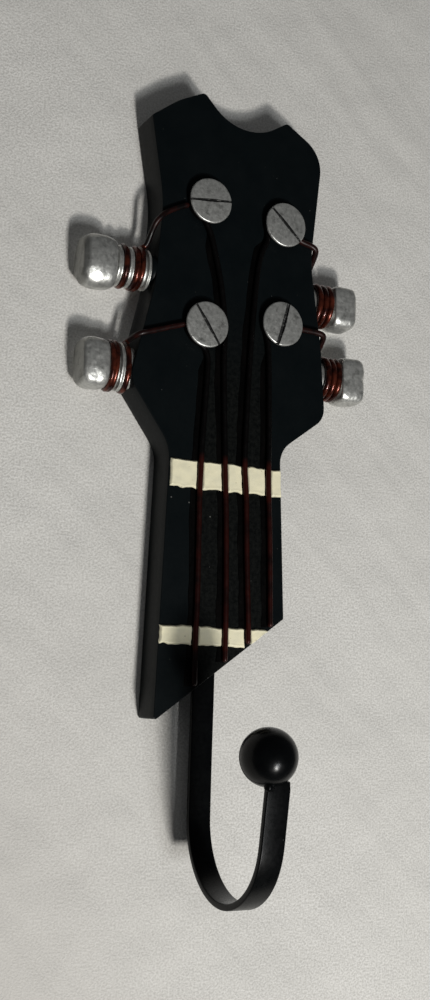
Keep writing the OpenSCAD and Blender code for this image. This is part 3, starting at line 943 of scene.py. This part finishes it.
def make_cap(i):
    """Slightly domed cap with a worn slot, on its stem."""
    low = CAP_BOXES[i][0]
    radius = half_width(CAP_BOXES[i])
    x, z = middle(CAP_BOXES[i])
    thick = SPACER_BOXES[i][0].y - low.y
    rings = 16
    profile = [(-STEM_LEN, STEM_R), (0, STEM_R), (0, radius - 0.5), (0.25, radius - 0.1), (0.4, radius),
               (thick - CAP_RIM_R, radius)]
    for deg in (20, 40, 60, 75, 90):
        a = math.radians(deg)
        profile.append((thick - CAP_RIM_R * (1 - math.sin(a)), radius - CAP_RIM_R * (1 - math.cos(a))))
    profile += [(thick, (radius - CAP_RIM_R) * (1 - k / rings)) for k in range(1, rings)]
    profile.append((thick, 0.02))
    cap = turned(f"cap_{i + 1}", (x, low.y + thick, z), (0, -1, 0), profile, SILVER, sides=96,
                 wobble=lambda p: ripple(p, 5, 0.12, i))
    for v in cap.data.vertices:
        p = v.co / MM
        if p.y < low.y + 0.6:
            away = math.hypot(p.x - x, p.z - z)
            sink = abs(ripple(p, 3.4, 0.1, i)) + ripple(p, 1.1, 0.04, i) + 0.02
            if away > radius * 0.8:
                sink *= 0.7
            v.co.y += (max(0, sink) + CAP_DOME * (away / radius) ** 2) * MM
    a = math.radians(SLOT_DEG[i])
    half = SLOT_CUT_W[i] / 2
    mouth = [(half, -0.12), (half + 0.03, -0.05), (half + 0.08, 0), (half + 0.35, 0.4)]
    worn = [(-half - 0.75, 0.4), (-half - 0.3, 0), (-half - 0.14, -0.08), (-half, -0.25)]
    section = [(-half, -SLOT_CUT_DEPTH), (half, -SLOT_CUT_DEPTH)] + mouth + worn
    slot = prism("slot", section, (x, low.y + 0.06, z), (-math.sin(a), 0, math.cos(a)), (0, -1, 0),
                 2 * radius + 2, GRIME)
    combine(cap, [slot], "DIFFERENCE")
    hand_in(cap, "aged_silver", f"post_cap_{i + 1}")


def make_spacer(i):
    """Low drum with a lip at each end."""
    low, high = SPACER_BOXES[i]
    radius = half_width(SPACER_BOXES[i])
    x, z = middle(SPACER_BOXES[i])
    tall = high.y - low.y
    profile = [(-0.3, radius - 0.3), (0, radius), (0.3, radius), (0.5, radius - 0.25),
               (tall - 0.5, radius - 0.25), (tall - 0.3, radius), (tall, radius), (tall + 0.02, radius - 1)]
    spacer = turned(f"spacer_{i + 1}", (x, high.y, z), (0, -1, 0), profile, BLACK)
    hand_in(spacer, "black_resin", f"post_spacer_{i + 1}")


# ---- strings and tuner wires ----


def make_string(i):
    """Wire from a loop round its post down to the oblique cut."""
    loop_r = half_width(SPACER_BOXES[i]) + STRING_R + GAP
    last, first = LOOP_ANGLES[i]
    loop = arc(middle(CAP_BOXES[i]), loop_r, first, last, 16)
    route = [Vector((x, STRING_Y, z)) for x, z in [*loop, *NECK_RUNS[i]]]
    # its domed end stays within the oblique cut
    route[-1] += (route[-2] - route[-1]).normalized() * STRING_R
    string = tube(f"string_{i + 1}", smooth_route(route, 1), STRING_R, STRING_RED, seed=i)
    hand_in(string, "red_wire", f"string_{i + 1}")


def make_shade_ribbon(i):
    """Low ribbon of painted shade along the left of a string, where its shadow falls."""
    route = smooth_route([(x, FRONT, z) for x, z in NECK_RUNS[i]], 1)
    points = []
    for k, (p, (_, side)) in enumerate(zip(route, carried_frames(route, Vector((-1, 0, 0))))):
        wide = (SHADE_RIBBON_W + ripple(p, 9, 0.6, i) + ripple(p, 2, 0.1, i)) * min(1, 0.3 + 0.12 * k)
        rise = Vector((0, -SHADE_RIBBON_H - ripple(p, 4, 0.06, i), 0))
        sunk = Vector((0, SHADE_RIBBON_ROOT, 0))
        points += [p + sunk, p + rise, p + side * (wide - 0.5) + rise, p + side * (wide - 0.15) + rise * 0.6,
                   p + side * wide + sunk * 0.1, p + side * wide + sunk]
    # painted shade: this ribbon stands in for the string's shadow on the plaque
    shade_ribbon = skin(f"bed_{i + 1}", points, 6, STRING_SHADE, 40)
    hand_in(shade_ribbon, "black_resin")


def make_wire(i):
    """Wire over the plaque's edge and round the shaft, darker before its coil."""
    last = COIL_X[i][-1][0]
    r = CORE_R + WIRE_R[i] + GAP
    route = smooth_route([(SIDE[i] * x, y, z) for x, y, z in WIRE_RUNS[i]], 0.8)
    steps = round(last * COIL_STEPS)
    for k in range(1, steps + 1):
        turns = last * k / steps
        a = math.radians(COIL_START[i] + COIL_WAY[i] * 360 * turns)
        x = SIDE[i] * (SEAT_X[i] + looked_up(COIL_X[i], turns))
        z = TUNER_Z[i] + (r + SHAFT_RISE[i]) * math.sin(a)
        route.append(Vector((x, AXIS_Y - r * math.cos(a), z)))
    wire = tube(f"wire_{i + 1}", route, WIRE_R[i], WIRE_RED, wander=0.08, seed=7 + i)
    wire.data.materials.append(RUN_RED)
    for face in wire.data.polygons[:(len(route) - steps) * TUBE_SIDES]:
        face.material_index = 1
    hand_in(wire, "red_wire", f"tuner_wire_{i + 1}")


# ---- tuners ----


def make_shaft(i):
    """Worn shaft whose lands carry two soft ridges each."""
    reach = REACH[i]
    profile = [(-3, CORE_R), (0, CORE_R)]
    for start, end in LANDS[i]:
        width = end - start
        ridge = min(0.45, width / 4)
        profile += [
            (start, CORE_R), (start + 0.02, LAND_R - 0.35), (start + ridge * 0.5, LAND_R - 0.05),
            (start + ridge, LAND_R - 0.08), (start + width * 0.45, LAND_R - 0.35),
            (start + width * 0.6, LAND_R - 0.32), (end - ridge, LAND_R), (end - ridge * 0.4, LAND_R - 0.05),
            (end - 0.02, LAND_R - 0.4), (end, CORE_R),
        ]
    profile += [(reach, CORE_R), (reach + 1, CORE_R)]
    profile = sorted(set(profile), key=lambda p: (p[0], profile.index(p)))
    shaft = turned(f"shaft_{i + 1}", (SIDE[i] * SEAT_X[i], AXIS_Y, TUNER_Z[i]), (SIDE[i], 0, 0),
                   profile, SILVER, sides=72, wobble=lambda p: ripple(p, 3, 0.16, i))
    for v in shaft.data.vertices:
        up = v.co.z / MM - TUNER_Z[i]
        away = math.hypot(up, v.co.y / MM - AXIS_Y)
        v.co.z += up * SHAFT_RISE[i] / max(away, 1) * MM
        if away > CORE_R + 0.3:
            v.co.y = min(v.co.y, (AXIS_Y + LAND_FLAT) * MM)
    hand_in(shaft, "aged_silver", f"tuner_shaft_{i + 1}")


def make_button(i):
    """Rounded block or egg with two flat ends, dented on its front."""
    low, high = BUTTON_BOXES[i]
    half = (high - low) / 2
    out, fore, up = half.x, half.y, half.z
    away = (out * (1 + BUTTON_CUT[i]), out * (1.3 + BUTTON_CUT[i]), fore, fore, up, up)
    axes = ((SIDE[i], 0, 0), (0, -1, 0), (0, 0, 1))
    ends = [(n, out) for n in COMPASS[:2]]
    button = lump(f"button_{i + 1}", (low + high) / 2, axes, zip(COMPASS, away), SILVER,
                  sharpness=BUTTON_SQUARE[i], facets=ends, dents=DENTS[i], rough=(0.25, 0.05))
    hand_in(button, "aged_silver", f"tuner_button_{i + 1}")


# ---- hook ----


def bar_section(shrink=0.0):
    """Rounded section of the flat bar as sideways and inward offsets."""
    r = BAR_EDGE_R
    across = BAR_W / 2 - r
    corners = [(across, BAR_T - r, 0), (-across, BAR_T - r, 90), (-across, r, 180), (across, r, 270)]
    points = []
    for cx, cy, first in corners:
        for k in range(5):
            a = math.radians(first + 90 * k / 4)
            points.append(Vector((cx + (r - shrink) * math.cos(a), cy + (r - shrink) * math.sin(a))))
    return points


def make_hook():
    """Flat bar swept from inside the plaque round the bend to its leaning tip."""
    stations = []
    for k in range(STRAIGHT_STEPS + 1):
        z = BAR_BOX[1].z + (BEND_Z - BAR_BOX[1].z) * k / STRAIGHT_STEPS
        stations.append((BAR_BACK, z, math.pi / 2))
    sweep = math.pi - LEAN
    for k in range(1, BEND_STEPS + 1):
        a = math.pi / 2 - sweep * k / BEND_STEPS
        stations.append((BAR_BACK + BEND_R * math.sin(a) - BEND_R, BEND_Z - BEND_R * math.cos(a), a))
    last = stations[-1]
    leg = (TIP_Z - last[1]) / math.cos(LEAN)
    for k in range(1, LEG_STEPS + 1):
        step = leg * k / LEG_STEPS
        stations.append((last[0] - step * math.sin(LEAN), last[1] + step * math.cos(LEAN), last[2]))
    points = []
    for n, (y, z, a) in enumerate(stations):
        inward = Vector((0, -math.sin(a), math.cos(a)))
        shrink = BAR_EDGE_R * 0.7 if n in (0, len(stations) - 1) else 0
        for p in bar_section(shrink):
            place = Vector((BAR_X + p.x, y, z)) + inward * p.y
            place.x += ripple((0, place.y, place.z), 26, 0.12)
            points.append(place)
    bar = skin("hook", points, len(bar_section()), STEEL, 40)
    combine(bar, hook_screw_holes(STEEL), "DIFFERENCE", 40)
    hand_in(bar, "black_steel", "hook_bar")


def make_ball():
    """Ball and the bead of weld that holds it on the tip."""
    low, high = BALL_BOX
    radius = half_width(BALL_BOX)
    axes = ((1, 0, 0), (0, 1, 0), (0, 0, 1))
    ball = lump("ball", (low + high) / 2, axes, [(n, radius) for n in COMPASS], BALL_STEEL,
                sharpness=2, rough=(0.05, 0.01))
    hand_in(ball, "black_steel", "hook_ball")
    bead = lump("weld_bead", WELD_CENTRE, axes, [(n, WELD_R) for n in COMPASS], STEEL,
                cuts=16, sharpness=2, rough=(0.3, 0.35))
    hand_in(bead, "black_steel")


# ---- wall fixing on the back ----


def make_screw(name, x, z, size):
    """Countersunk cross-head screw, its head flush with the back."""
    head_d, shank_d, length = size
    r, shank = head_d / 2, shank_d / 2
    tall = r - shank
    profile = [(0.02, r - 0.55), (0.04, r - 0.25), (0.12, r - 0.08), (0.25, r - 0.12), (tall, shank),
               (length, shank)]
    screw = turned(name, (x, 0, z), (0, -1, 0), profile, ZINC, sides=48, smooth_deg=30)
    arm, long = head_d * 0.08, head_d * 0.28
    section = [(-arm * 0.6, -tall * 0.8), (arm * 0.6, -tall * 0.8), (arm, 0.6), (-arm, 0.6)]
    cuts = [prism("recess", section, (x, 0, z), across, (0, 1, 0), 2 * long, ZINC)
            for across in ((1, 0, 0), (0, 0, 1))]
    return combine(screw, cuts, "DIFFERENCE", 30)


def make_wall_fixing():
    """Keyhole plate in the back, its screws and those that pin the bar."""
    low, high = PLATE_BOX
    levels = fillet_levels(low.y, 0, 0.1, 0.3, steps=3)
    plate = slab("wall_plate", stadium(0, low.z, high.z, high.x - low.x), levels, ZINC)
    meet = math.degrees(math.acos(SLOT_W / 2 / ENTRY_R))
    keyhole = arc((0, 0), ENTRY_R, meet, -180 - meet, 40) + arc((0, DROP), SLOT_W / 2, 180, 0)
    cuts = [plain_slab("keyhole", keyhole, low.y - 1, 1, ZINC)]
    cuts += [turned("hole", (0, 0.3, z), (0, -1, 0), PLATE_SCREW_HOLE, ZINC) for z in PLATE_SCREW_Z]
    combine(plate, cuts, "DIFFERENCE")
    hand_in(plate, "zinc_steel", "hanger_plate")
    small = joined([make_screw(f"plate_screw_{n}", 0, z, PLATE_SCREW)
                    for n, z in enumerate(PLATE_SCREW_Z)])
    hand_in(small, "zinc_steel", "hanger_screws")
    large = joined([make_screw(f"hook_screw_{n}", BAR_X, z, HOOK_SCREW)
                    for n, z in enumerate(HOOK_SCREW_Z)])
    hand_in(large, "zinc_steel", "hook_screws")


make_plaque()
make_bar("nut", "nut_bar", NUT, (3, 0, 1, 2))
make_bar("fret", "fret_bar", FRET, (3, 0, 1))
for tuner in TUNERS:
    make_cap(tuner)
    make_spacer(tuner)
    make_string(tuner)
    # ribbon of painted shade beside the string, in place of its shadow
    make_shade_ribbon(tuner)
    make_wire(tuner)
    make_shaft(tuner)
    make_button(tuner)
make_hook()
make_ball()
make_wall_fixing()


# ---- backdrop, lights and camera ----


def make_stage():
    """Cloth just behind the hook and a pale dome that only the camera sees."""
    bpy.ops.mesh.primitive_plane_add(size=6, location=(0, 0.0003, 0), rotation=(math.pi / 2, 0, 0))
    wall = bpy.context.object
    wall.name = "backdrop"
    wall.data.materials.append(cloth())
    wall.visible_shadow = False
    bpy.ops.mesh.primitive_uv_sphere_add(segments=48, ring_count=24, radius=6)
    dome = bpy.context.object
    dome.name = "dome"
    glow = bpy.data.materials.new("dome_glow")
    glow.use_nodes = True
    light = glow.node_tree.nodes.new("ShaderNodeEmission")
    light.inputs["Color"].default_value = (0.52, 0.515, 0.5, 1)
    glow.node_tree.links.new(light.outputs[0], glow.node_tree.nodes["Material Output"].inputs["Surface"])
    dome.data.materials.append(glow)
    dome.visible_diffuse = dome.visible_glossy = dome.visible_shadow = False
    dome.visible_transmission = dome.visible_volume_scatter = False


def make_lights():
    """Square lamps that face the target, and a faint even light."""
    for name, direction, distance, size, power, colour, gloss in LAMPS:
        data = bpy.data.lights.new(name, "AREA")
        data.size = size
        data.energy = power
        data.color = colour
        lamp = placed(name, data)
        lamp.location = Vector(LAMP_TARGET) + Vector(direction).normalized() * distance
        lamp.rotation_euler = (-Vector(direction)).to_track_quat("-Z", "Y").to_euler()
        lamp.visible_glossy = gloss
    world = bpy.data.worlds.new("room")
    world.use_nodes = True
    background = world.node_tree.nodes["Background"].inputs
    background["Color"].default_value = (0.9, 0.95, 1, 1)
    background["Strength"].default_value = ROOM_LIGHT
    bpy.context.scene.world = world
    bpy.context.scene.view_settings.view_transform = "Standard"


def make_camera():
    """Camera at the photograph's place."""
    turn, pitch, roll = (math.radians(a) for a in CAMERA_ANGLES)
    ahead = Vector((math.sin(turn) * math.cos(pitch), math.cos(turn) * math.cos(pitch), math.sin(pitch)))
    level = Vector((math.cos(turn), -math.sin(turn), 0))
    above = level.cross(ahead)
    right = math.cos(roll) * level + math.sin(roll) * above
    up = math.cos(roll) * above - math.sin(roll) * level
    data = bpy.data.cameras.new("photo_camera")
    data.sensor_width = 36
    data.lens = CAMERA_FOCAL * data.sensor_width
    camera = placed("photo_camera", data)
    turned_to = Matrix((right, up, -ahead)).transposed().to_4x4()
    camera.matrix_world = Matrix.Translation(CAMERA_PLACE) @ turned_to
    bpy.context.scene.camera = camera


make_stage()
make_lights()
make_camera()
